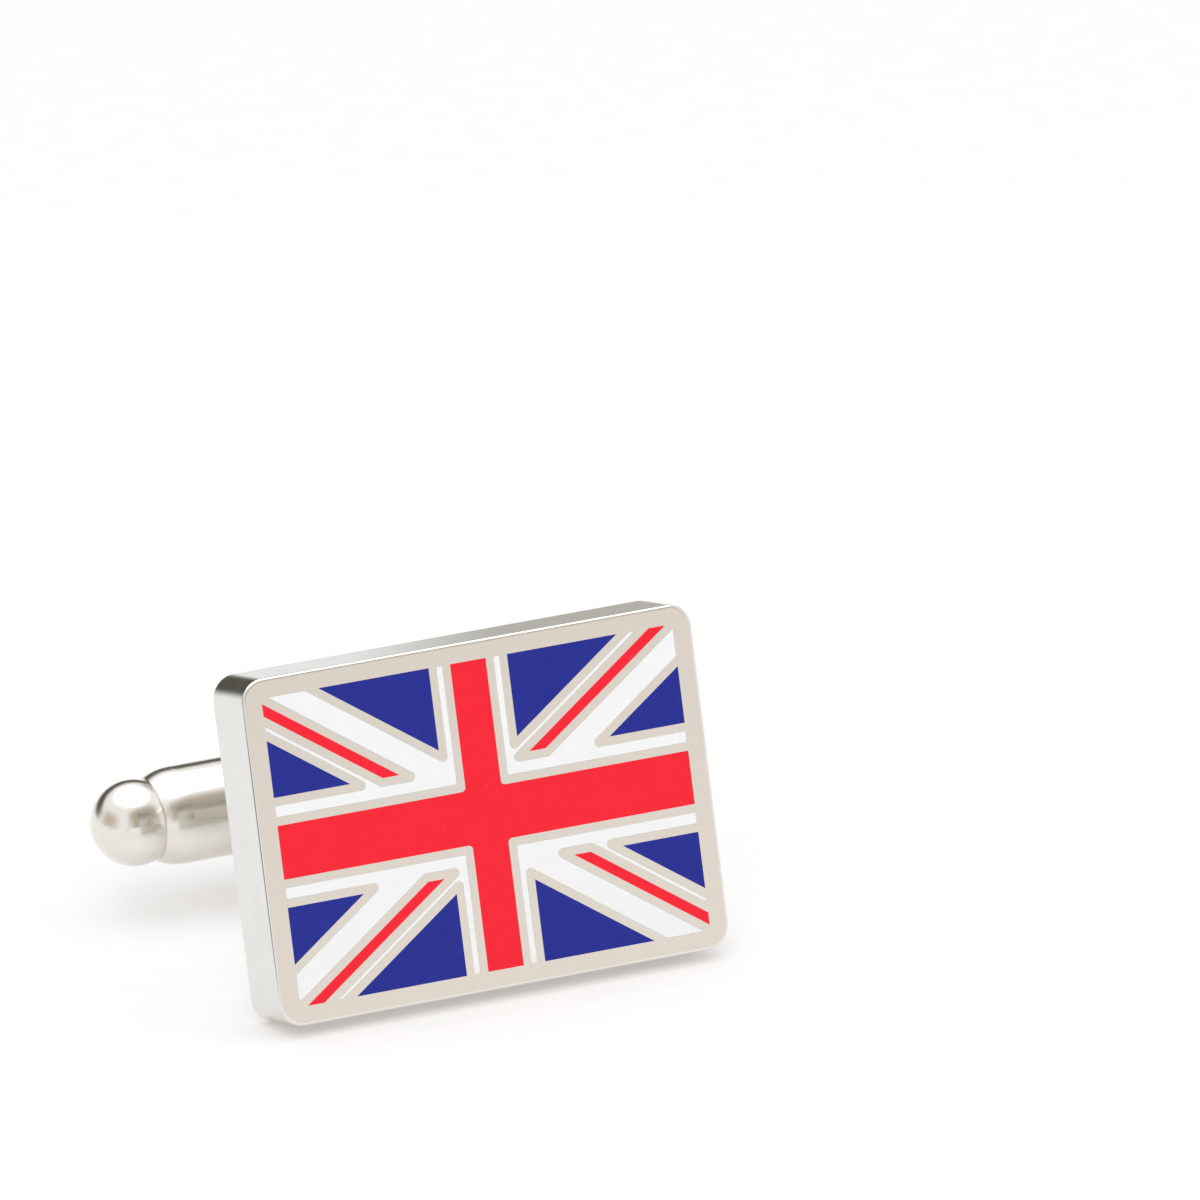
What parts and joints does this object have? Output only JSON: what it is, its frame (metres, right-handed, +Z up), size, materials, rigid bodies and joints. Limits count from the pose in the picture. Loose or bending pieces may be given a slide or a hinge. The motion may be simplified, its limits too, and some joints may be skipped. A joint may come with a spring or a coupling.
{
  "type": "cufflink",
  "caption": "Cufflink: a rectangular metal plate with flush flag-pattern enamel, and a bent half-round post whose bullet toggle swivels to lock it in a shirt cuff.",
  "frame": {"origin": "on the ground, under the middle of the box round the cufflink as it rests on the plate's lower rear edge and the tip of the post's lower arm", "axes": "+X along the plate's long side, to the right as the flag is seen; +Y from the face towards the toggle; +Z up"},
  "size_m": [0.019, 0.0196, 0.0138],
  "materials": {
    "plated_metal": "polished silver-coloured plating, satin on the rim",
    "red_enamel": "polished hard enamel",
    "white_enamel": "polished hard enamel",
    "blue_enamel": "polished hard enamel",
    "spring_steel": "bright rolled strip"
  },
  "bodies": {
    "face_and_post": {"face_plate": "plated_metal", "red_cross": "red_enamel", "red_stripe_upper_left": "red_enamel", "red_stripe_upper_right": "red_enamel", "red_stripe_lower_left": "red_enamel", "red_stripe_lower_right": "red_enamel", "white_field_upper_left": "white_enamel", "white_field_upper_right": "white_enamel", "white_field_lower_left": "white_enamel", "white_field_lower_right": "white_enamel", "blue_large_upper_left": "blue_enamel", "blue_large_upper_right": "blue_enamel", "blue_large_lower_left": "blue_enamel", "blue_large_lower_right": "blue_enamel", "blue_small_upper_left": "blue_enamel", "blue_small_upper_right": "blue_enamel", "blue_small_lower_left": "blue_enamel", "blue_small_lower_right": "blue_enamel", "solder_bead": "plated_metal", "stirrup": "plated_metal", "hinge_pin": "plated_metal"},
    "toggle": {"toggle_barrel": "plated_metal", "end_cap_left": "plated_metal", "end_cap_right": "plated_metal", "detent_spring": "spring_steel"}
  },
  "joints": [
    {"name": "toggle_swivel", "type": "hinge", "parent": "face_and_post", "child": "toggle", "pos_m": [0, 0.00782, 0.00369], "axis": [0, 0.1956, 0.9807], "continuous": true, "deforming": ["detent_spring"]}
  ]
}
